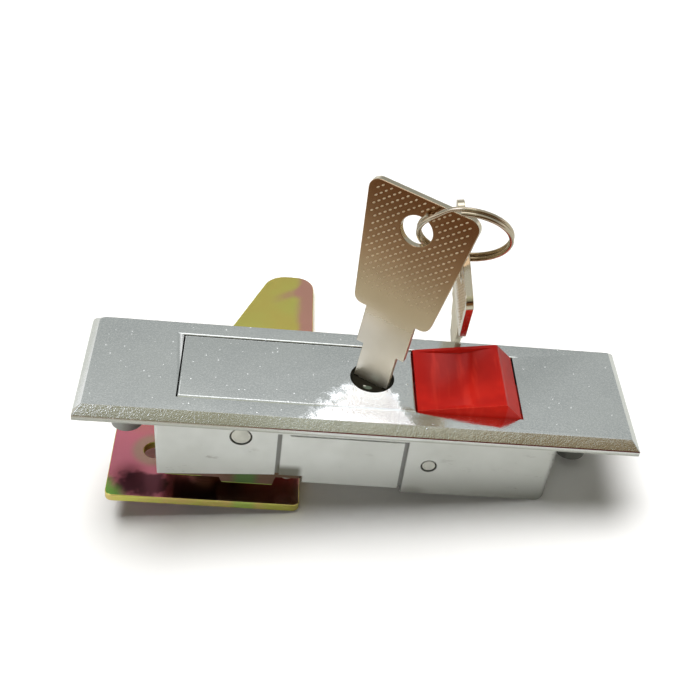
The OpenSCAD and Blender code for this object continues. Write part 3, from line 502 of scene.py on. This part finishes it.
# A painted glow, standing for light that has come through the plastic, fills its front and the
# arris
towards_front = 0 - gloss_red.part(gloss_red.node("NewGeometry", out="Normal"))[1]
painted_glow = gloss_red.mix(towards_front.above(0.5, 0.9), (0.0, 0.0, 0.0), (0.15, 0.005, 0.003))
arris = towards_front.above(0.20, 0.40) * (1 - towards_front.above(0.65, 0.90))
arris = arris * (0 - across).above(10.9 * mm, 11.4 * mm)
painted_glow = gloss_red.mix(arris, painted_glow, (0.42, 0.09, 0.05))
coat(button, gloss_red.surface(
    Base_Color=gloss_red.mix(frosted * 0.28, deep_red, (0.40, 0.12, 0.11)),
    Roughness=0.20 + frosted * 0.3,
    Specular_IOR_Level=0.12,
    Emission_Color=painted_glow,
    Emission_Strength=1.0,
    Normal=gloss_red.bump(streak, 0.03 * mm, strength=0.5),
))
stands_for(button, "button_body", "red_plastic", "button")


# Latch plate: pressed steel 2.5 thick, zinc plated and yellow passivated, so
# that its colour runs from olive gold to pink and green with the film's depth.
def yellow_chromate(name, flat_hues, edge_hues, thin_rims=()):
    """The film's colour over flat faces, and the plainer gold of the cut edges.

    The third edge hue is a patch on the near edge. The entries of thin_rims are the
    height under which an edge is pale green, and the x that it reaches.
    """
    film = finish_named(name)
    spot = film.spot()
    along, across, height = film.part(spot)
    swirl = film.noise(spot, 26, detail=2, roughness=0.5)
    smear = film.noise(spot, 110, detail=3, roughness=0.6)
    depth = (across / (30 * mm)).above(-0.7, 1.9) * 0.75 + 0.12
    depth = depth + (swirl - 0.5) * 0.35 + (smear - 0.5) * 0.12
    hue = film.node("ValToRGB", {"stops": flat_hues}, {"Fac": depth})

    # Green round the rod hole, a dark blotch, and painted shade on the near end, browner with a
    # near-black patch
    near_end = 1 - across.above(-13 * mm, -6 * mm)
    from_hole = away(along + 56 * mm, across)
    hue = film.mix((1 - from_hole.above(4.6 * mm, 7.5 * mm)) * 0.5, hue, (0.34, 0.42, 0.22))
    from_blotch_middle = away(along + 58 * mm, (across + 14.5 * mm) * 1.5)
    blotch = (smear * 1.3 + swirl * 0.6 - from_blotch_middle / (20 * mm)).above(0.52, 0.70)
    hue = film.mix(blotch * 0.88, hue, (0.10, 0.035, 0.05))
    # Painted shade on the near end, under the housing
    near_end_painted_shade = (along + smear * (6 * mm)).above(-50 * mm, -42 * mm) * near_end
    hue = film.mix(near_end_painted_shade * 0.9, hue, (0.46, 0.33, 0.22))
    near_black_painted_shade = along.above(-49.6 * mm, -48.6 * mm) * (1 - along.above(-37.6 * mm, -36.6 * mm))
    hue = film.mix(near_black_painted_shade * near_end * 0.75, hue, (0.07, 0.05, 0.045))

    # A green near corner, and pink on the right of the tongue's tip
    corner = ((0 - along) - across + (smear - 0.5) * (9 * mm)).above(77 * mm, 83 * mm)
    hue = film.mix(corner, hue, (0.30, 0.58, 0.13))
    tip = across.above(20 * mm, 30 * mm)
    streak = (along + (smear - 0.5) * (4 * mm)).above(-17.5 * mm, -12.5 * mm)
    from_band = abs(along * 0.55 - across + 87 * mm + (swirl - 0.5) * (12 * mm))
    band = 1 - from_band.above(0.5 * mm, 4.5 * mm)
    band = band * (along + smear * (6 * mm)).above(-24 * mm, -15 * mm)
    hue = film.mix((streak + band * 0.6).above(0.0, 1.0) * tip * 0.85, hue, (0.74, 0.33, 0.32))

    # The edges are plainer, with a greener patch and pale rims
    upright = 1 - abs(film.part(film.node("NewGeometry", out="Normal"))[2]).above(0.80, 0.97)
    edge_gold = film.mix(smear.above(0.35, 0.65), *edge_hues[:2])
    patch = 1 - abs(along + 29.5 * mm).above(1.5 * mm, 4.5 * mm)
    edge_gold = film.mix(patch * 0.85, edge_gold, edge_hues[2])
    on_near_side = 1 - across.above(-13.2 * mm, -12.8 * mm)
    # Painted highlight: the lower near edges named in thin_rims are a paler green
    for rim_z, rim_x in thin_rims:
        rim = on_near_side * (1 - height.above((rim_z - 0.05) * mm, (rim_z + 0.2) * mm))
        rim = rim * (1 - along.above(rim_x * mm, (rim_x + 1) * mm))
        edge_gold = film.mix(rim, edge_gold, (0.50, 0.66, 0.15))
    grain = film.noise(spot, 900, detail=2)
    return film.surface(
        Base_Color=film.mix(upright, hue, edge_gold),
        Metallic=1.0,
        Roughness=0.20 + smear * 0.1,
        Normal=film.bump(grain, 0.02 * mm, strength=0.4),
    )


rose_to_gold = (
    (0.00, (0.80, 0.26, 0.36)),
    (0.30, (0.78, 0.24, 0.30)),
    (0.44, (0.66, 0.27, 0.20)),
    (0.56, (0.72, 0.52, 0.18)),
    (0.70, (0.64, 0.70, 0.15)),
    (0.84, (0.80, 0.66, 0.17)),
    (1.00, (0.66, 0.72, 0.18)),
)
latch_edges = ((0.86, 0.84, 0.20), (0.98, 0.72, 0.28), (0.60, 0.86, 0.20))
latch = edges_broken("latch_plate", "chromated_latch_plate", 0.3, steps=3)
coat(latch, yellow_chromate("yellow_chromate", rose_to_gold, latch_edges))
stands_for(latch, "latch_body", "yellow_steel", "latch_plate")


# Cover plate and spindle: the same passivated steel, with a darker copy of its colours as painted
# shade. The cover closes the latch's chamber from below, and the spindle's drum turns beneath it.
# Painted shade: a darker copy of the latch's film colours, for the cover and the drum
brown_to_olive = (
    (0.00, (0.30, 0.12, 0.12)),
    (0.50, (0.24, 0.15, 0.09)),
    (1.00, (0.20, 0.24, 0.08)),
)
cover_edges = ((0.26, 0.15, 0.12), (0.20, 0.13, 0.09), (0.12, 0.24, 0.08))
tab_rim = (-25.3, -20)
drum_rim = (-23.45, -42)
cover = edges_broken("cover_plate", "chromated_cover_plate", 0.2)
drum = edges_broken("latch_spindle", "chromated_spindle", 0.25)
dark_chromate = yellow_chromate(
    "dark_chromate", brown_to_olive, cover_edges, thin_rims=(tab_rim, drum_rim)
)
coat(cover, dark_chromate)
coat(drum, dark_chromate)
stands_for(cover, "housing", "yellow_steel", "cover_plate")
stands_for(drum, "latch_body", "yellow_steel", "latch_spindle")


# Keys: sheet brass under bright nickel, blanked to shape, with a grid of
# raised points rolled into both faces of the bow.
key_thick = 1.9


def bright_nickel(name, place=None, bow_top_painted_hue=(0.54, 0.43, 0.28)):
    """Plating over brass. On a key the colour is painted: champagne on the stem and brown up the
    bow as painted reflection, a near-black tip as painted shade, and raised points lighter, partly
    rubbing and partly painted highlight. The stem is satin.
    """
    nickel = finish_named(name)
    spot = nickel.spot()
    colour = (0.56, 0.48, 0.36)
    painted_light_mark = 0.0
    satin = 0.0
    if place:
        out_of_face = place.to_3x3() @ Vector((0, 1, 0))
        depth = abs(nickel.reach(spot, out_of_face) - place.translation.dot(out_of_face))
        painted_light_mark = depth.above((key_thick / 2 + 0.005) * mm, (key_thick / 2 + 0.03) * mm)
        along_key = place.to_3x3() @ Vector((0, 0, 1))
        up = nickel.reach(spot, along_key) - place.translation.dot(along_key)
        flat_face = depth.above((key_thick / 2 - 0.15) * mm, (key_thick / 2 - 0.05) * mm)
        up_the_bow = up.above(14 * mm, 28 * mm)
        # Painted reflection: the colour runs from champagne on the stem to brown at the top of the
        # bow
        bow_painted_brown = nickel.mix(up.above(26 * mm, 46 * mm), (0.54, 0.43, 0.28), bow_top_painted_hue)
        colour = nickel.mix(up_the_bow * flat_face, (0.68, 0.61, 0.47), bow_painted_brown)
        # Painted shade: the tip is near black
        tip_painted_shade = (1 - up.above(-5 * mm, -1 * mm)) * (1 - flat_face * 0.75)
        colour = nickel.mix(tip_painted_shade, colour, (0.06, 0.05, 0.05))
        # The raised points are painted lighter: partly rubbing, partly painted highlight
        colour = nickel.mix(painted_light_mark, colour, (0.76, 0.62, 0.42))
        satin = 1 - up_the_bow
    rub = nickel.noise(nickel.stretched(spot, (1.0, 1.0, 0.15)), 1400, detail=2)
    patina = nickel.noise(spot, 60, detail=3)
    return nickel.surface(
        Base_Color=nickel.mix(patina.above(0.35, 0.7) * 0.12, colour, (0.10, 0.07, 0.04)),
        Metallic=1.0,
        Roughness=0.13 + rub * 0.06 + painted_light_mark * 0.30 + satin * 0.25,
        Normal=nickel.bump(rub, 0.006 * mm, strength=0.3),
    )


class Jig:
    """A geometry tree with named sizes that repeats a shape or follows a path."""

    def __init__(self, name, sizes):
        self.tree = bpy.data.node_groups.new(name, "GeometryNodeTree")
        self.sizes = sizes
        face = self.tree.interface
        face.new_socket("Geometry", in_out="OUTPUT", socket_type="NodeSocketGeometry")
        face.new_socket("Geometry", in_out="INPUT", socket_type="NodeSocketGeometry")
        for label, value in sizes.items():
            kind = "NodeSocketInt" if isinstance(value, int) else "NodeSocketFloat"
            face.new_socket(label, in_out="INPUT", socket_type=kind)
        self.entry = self.tree.nodes.new("NodeGroupInput")

    def given(self, label):
        return Tone(self.entry.outputs[label])

    def node(self, kind, settings=None, sockets=None, out=0):
        made = self.tree.nodes.new(kind)
        for name, value in (settings or {}).items():
            setattr(made, name, value)
        for name, term in (sockets or {}).items():
            feed(self.tree, made.inputs[name], term)
        return Tone(made.outputs[out])

    def ends_in(self, shape, material):
        real = self.node("GeometryNodeRealizeInstances", sockets={"Geometry": shape})
        sockets = {"Geometry": real, "Material": material}
        coated = self.node("GeometryNodeSetMaterial", sockets=sockets)
        exit_node = self.tree.nodes.new("NodeGroupOutput")
        self.tree.links.new(coated.socket, exit_node.inputs[0])

    def made_on(self, carrier, name, **changed):
        """Runs the tree on the carrier and gives the result as a plain mesh piece."""
        bpy.context.scene.collection.objects.link(carrier)
        step = carrier.modifiers.new("jig", "NODES")
        step.node_group = self.tree
        for item in self.tree.interface.items_tree:
            if item.in_out == "INPUT" and item.name in self.sizes:
                value = changed.get(item.name.replace(" ", "_"), self.sizes[item.name])
                step[item.identifier] = value
        graph = bpy.context.evaluated_depsgraph_get()
        mesh = bpy.data.meshes.new_from_object(carrier.evaluated_get(graph), depsgraph=graph)
        carrier.modifiers.clear()
        bpy.data.objects.remove(carrier)
        mesh.name = name
        piece = bpy.data.objects.new(name, mesh)
        bpy.context.scene.collection.objects.link(piece)
        return piece


bow_low = 29.0
bow_high = 60.0
hole_up = 51.0
keyhole = Vector((3.2, 0, 3.8))
key_sunk = 1.0
plug_lean = math.radians(6)
key_turned = math.radians(-27)
key_place = (
    Matrix.Translation(keyhole * mm)
    @ Matrix.Rotation(plug_lean, 4, "Y")
    @ Matrix.Rotation(key_turned, 4, "Z")
    @ Matrix.Translation(Vector((0, 0, -key_sunk)) * mm)
)
spare_hole = Vector((22.31, 3.77, 41.45))
spare_tipped = math.radians(-10.1)
spare_swung = math.radians(31.3)
spare_place = (
    Matrix.Translation(spare_hole * mm)
    @ Matrix.Rotation(spare_tipped, 4, "Y")
    @ Matrix.Rotation(spare_swung, 4, "X")
    @ Matrix.Rotation(math.radians(90), 4, "Z")
    @ Matrix.Translation(Vector((0, 0, -hole_up)) * mm)
)

# Raised points of the bow: a diamond grid, left off round the hole and the rim
points = Jig("bow_points", {
    "Pitch": 1.6 * mm,
    "Point Radius": 0.42 * mm,
    "Bow Low": bow_low * mm,
    "Bow High": bow_high * mm,
    "Low Half Width": 10.0 * mm,
    "High Half Width": 13.6 * mm,
    "Hole Radius": 5.4 * mm,
    "Hole Up": hole_up * mm,
})
points_a_side = 30
grid_size = points.given("Pitch") * (points_a_side - 1)
grid = points.node("GeometryNodeMeshGrid", sockets={
    "Size X": grid_size, "Size Y": grid_size,
    "Vertices X": points_a_side, "Vertices Y": points_a_side,
})
upright_on_a_corner = (math.radians(90), math.radians(45), 0)
bow_middle = (0, 0, (bow_low + bow_high) / 2 * mm)
grid = points.node("GeometryNodeTransform", sockets={
    "Geometry": grid, "Rotation": upright_on_a_corner, "Translation": bow_middle,
})
where = points.node("GeometryNodeInputPosition")
cut = points.node("ShaderNodeSeparateXYZ", sockets={"Vector": where}).socket.node
across, depth, up = [Tone(output) for output in cut.outputs]
share = (up - points.given("Bow Low")) / (points.given("Bow High") - points.given("Bow Low"))
widening = points.given("High Half Width") - points.given("Low Half Width")
half_width = points.given("Low Half Width") + share * widening
over_hole = up - points.given("Hole Up")
from_hole = (across * across + over_hole * over_hole) ** 0.5
outside = points.node("FunctionNodeCompare", {"data_type": "FLOAT", "operation": "GREATER_THAN"}, {
    0: abs(across) - half_width, 1: 0.0,
})
crossing = points.node("FunctionNodeCompare", {"data_type": "FLOAT", "operation": "LESS_THAN"}, {
    0: from_hole - points.given("Hole Radius"), 1: 0.0,
})
beyond = points.node("FunctionNodeCompare", {"data_type": "FLOAT", "operation": "GREATER_THAN"}, {
    0: abs(share - 0.5), 1: 0.5,
})
bare = points.node("FunctionNodeBooleanMath", {"operation": "OR"}, {0: outside, 1: crossing})
bare = points.node("FunctionNodeBooleanMath", {"operation": "OR"}, {0: bare, 1: beyond})
kept = points.node("GeometryNodeMeshToPoints", sockets={"Mesh": grid})
kept = points.node("GeometryNodeDeleteGeometry", {"domain": "POINT"}, {
    "Geometry": kept, "Selection": bare,
})
dome = points.node("GeometryNodeMeshIcoSphere", sockets={
    "Radius": points.given("Point Radius"), "Subdivisions": 2,
})
dome_shape = (1.15, 0.30, 0.55)
dome_slant = (0, math.radians(-45), 0)
dome = points.node("GeometryNodeTransform", sockets={"Geometry": dome, "Scale": dome_shape})
dome = points.node("GeometryNodeTransform", sockets={"Geometry": dome, "Rotation": dome_slant})
fading = 0.55 + share.above(0.0, 0.35) * 0.45
studded = points.node("GeometryNodeInstanceOnPoints", sockets={
    "Points": kept, "Instance": dome, "Scale": fading,
})
both = points.node("GeometryNodeJoinGeometry")
for side in (-1, 1):
    face = points.node("GeometryNodeTransform", sockets={
        "Geometry": studded, "Translation": (0, side * key_thick / 2 * mm, 0),
    })
    points.tree.links.new(face.socket, both.socket.node.inputs[0])
smooth = points.node("GeometryNodeSetShadeSmooth", sockets={"Geometry": both})
key_nickel = bright_nickel("key_nickel", key_place, bow_top_painted_hue=(0.45, 0.29, 0.16))
spare_nickel = bright_nickel("spare_key_nickel", spare_place)
points.ends_in(smooth, key_nickel)


def joined(name, first, second, material):
    """One piece from two, with their rounding kept."""
    graph = bpy.context.evaluated_depsgraph_get()
    together = bmesh.new()
    for part in (first, second):
        finished = bpy.data.meshes.new_from_object(part.evaluated_get(graph), depsgraph=graph)
        together.from_mesh(finished)
        bpy.data.meshes.remove(finished)
    mesh = bpy.data.meshes.new(name)
    together.to_mesh(mesh)
    together.free()
    for part in (first, second):
        bpy.data.objects.remove(part)
    mesh.materials.append(material)
    piece = bpy.data.objects.new(name, mesh)
    bpy.context.scene.collection.objects.link(piece)
    return piece


for node, body, name, place, material in (
    ("key", "key_body", "key_in_lock", key_place, key_nickel),
    ("spare_key", "spare_body", "spare_key_on_ring", spare_place, spare_nickel),
):
    blank = edges_broken(node, name + "_blank", 0.2, steps=3)
    carrier = bpy.data.objects.new("carrier", bpy.data.meshes.new("carrier"))
    studs = points.made_on(carrier, name + "_points")
    studs.data.transform(place)
    bpy.context.view_layer.update()
    stands_for(joined(name, blank, studs, material), body, "nickel", node)


# Split ring: spring wire, nickel plated, wound in two turns side by side. The two
# ends lie apart on it, so that a key can be threaded on.
winding = Jig("wound_wire", {"Wire Radius": 0.6 * mm, "Sides": 14})
profile = winding.node("GeometryNodeCurvePrimitiveCircle", {"mode": "RADIUS"}, {
    "Radius": winding.given("Wire Radius"), "Resolution": winding.given("Sides"),
})
path = Tone(winding.entry.outputs["Geometry"])
tube = winding.node("GeometryNodeCurveToMesh", sockets={
    "Curve": path, "Profile Curve": profile, "Fill Caps": True,
})
tube = winding.node("GeometryNodeSetShadeSmooth", sockets={"Geometry": tube})
winding.ends_in(tube, bright_nickel("ring_nickel"))


def wound(name, path_points, wire):
    """A wire of that thickness along the points, given in millimetres."""
    route = bpy.data.curves.new(name, "CURVE")
    route.dimensions = "3D"
    line = route.splines.new("POLY")
    line.points.add(len(path_points) - 1)
    for point, place in zip(line.points, path_points):
        point.co = (*(Vector(place) * mm), 1)
    return winding.made_on(bpy.data.objects.new(name, route), name, Wire_Radius=wire / 2 * mm)


ring_wire = 1.2
ring_radius = 11.4
ring_offset = 0.62
ring_end = 24
ring_end_faces = 234
ring_crossing = 18
ring_steps = 240
ring_mid = Vector((19.75, -2.37, 54.70))
ring_heading = math.radians(-7.2)
ring_leaning = math.radians(27.6 - 90)
ring_turned = Matrix.Rotation(ring_heading, 3, "Z") @ Matrix.Rotation(ring_leaning, 3, "X")
turns = []
for step in range(ring_steps + 1):
    at = ring_end + (2 * 360 - 2 * ring_end) * step / ring_steps
    shift = max(-1, min(1, (at - 360) / ring_crossing))
    around = math.radians(at + ring_end_faces)
    flat = Vector((
        ring_radius * math.cos(around),
        ring_radius * math.sin(around),
        ring_offset * math.sin(math.radians(90 * shift)),
    ))
    turns.append(ring_mid + ring_turned @ flat)
ring = wound("split_ring", turns, ring_wire)
stands_for(ring, "ring_body", "nickel", "key_ring")


# Lock cylinder and small parts: a brass barrel with a nickel plated plug and brass
# tumblers, and the turned and stamped pins, clips, screws, cam, catch and slide
# that hold the lock together. They keep the forms of the frame.
def turned_metal(name, colour, roughness, keyhole_shade_and_glint=False):
    """Turned or stamped metal. What shows in the keyhole is painted near black as shade, with a
    painted glint.
    """
    metal = finish_named(name)
    spot = metal.spot()
    marks = metal.noise(spot, 2200, detail=2)
    stain = metal.noise(spot, 200, detail=2)
    darker = tuple(channel * 0.8 for channel in colour)
    colour = metal.mix(stain.above(0.35, 0.7), colour, darker)
    if keyhole_shade_and_glint:
        along, across, height = metal.part(spot)
        # Painted shade: what shows in the keyhole is near black
        keyhole_shade = height.above(-1 * mm, 0.5 * mm)
        colour = metal.mix(keyhole_shade, colour, (0.022, 0.020, 0.014))
        # Painted glint: a grey-green halo with a white core
        for glint_x, glint_y, glint_r, hue in (
            (1.9, -3.2, 1.5, (0.17, 0.22, 0.18)), (1.1, -2.7, 0.5, (0.90, 0.92, 0.90)),
        ):
            from_glint = away(along - glint_x * mm, (across - glint_y * mm) * 1.8)
            singled_out = (1 - from_glint.above(glint_r * 0.6 * mm, glint_r * mm)) * keyhole_shade
            colour = metal.mix(singled_out, colour, hue)
    return metal.surface(
        Base_Color=colour,
        Metallic=1.0,
        Roughness=roughness + marks * 0.1,
        Normal=metal.bump(marks, 0.01 * mm, strength=0.3),
    )


brass = turned_metal("brass", (0.66, 0.45, 0.17), 0.28)
grimy_brass = turned_metal("grimy_brass", (0.60, 0.41, 0.16), 0.30, keyhole_shade_and_glint=True)
bright_steel = turned_metal("bright_steel", (0.56, 0.56, 0.54), 0.25)
spring_steel = turned_metal("spring_steel", (0.30, 0.31, 0.32), 0.3)
dull_nickel = turned_metal("dull_nickel", (0.42, 0.40, 0.34), 0.25, keyhole_shade_and_glint=True)
pin_steel = turned_metal("pin_steel", (0.84, 0.84, 0.78), 0.40)
zinc_steel = turned_metal("zinc_plated_steel", (0.62, 0.62, 0.60), 0.3)
for node, metal in (
    ("lock_barrel", grimy_brass), ("lock_plug", dull_nickel), ("tumblers", brass),
    ("spindle_bush", brass), ("barrel_clip", spring_steel), ("handle_spring", spring_steel),
    ("spindle_clip", spring_steel), ("lock_cam", zinc_steel), ("cam_screw", bright_steel),
    ("cover_screws", bright_steel), ("handle_pin", pin_steel), ("button_pin", pin_steel),
    ("catch_plate", zinc_steel), ("catch_rivets", bright_steel), ("drive_slide", zinc_steel),
    ("drive_pin", bright_steel), ("latch_washer", zinc_steel),
):
    coat(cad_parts[node], metal)


# Button's return spring: seven turns of spring steel wire, the first and the
# last laid flat. It stands on the housing's floor, under the button.
spring_x = 36.4
spring_radius = 2.7
spring_wire = 0.74
spring_low = -21.45
spring_high = -6.8
spring_turns = 7
steps_a_turn = 20
rise_a_turn = 0.02
coil = []
for step in range(steps_a_turn * spring_turns + 1):
    turned = step / steps_a_turn
    risen = max(0, min(1, (turned - 1) / (spring_turns - 2)))
    around = math.tau * turned
    coil.append((
        spring_x + spring_radius * math.cos(around),
        spring_radius * math.sin(around),
        spring_low + (spring_high - spring_low) * risen + rise_a_turn * turned,
    ))
return_spring = wound("return_spring", coil, spring_wire)
coat(return_spring, spring_steel)
stands_for(return_spring, "housing", "spring_steel", "button_spring")
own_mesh(return_spring)
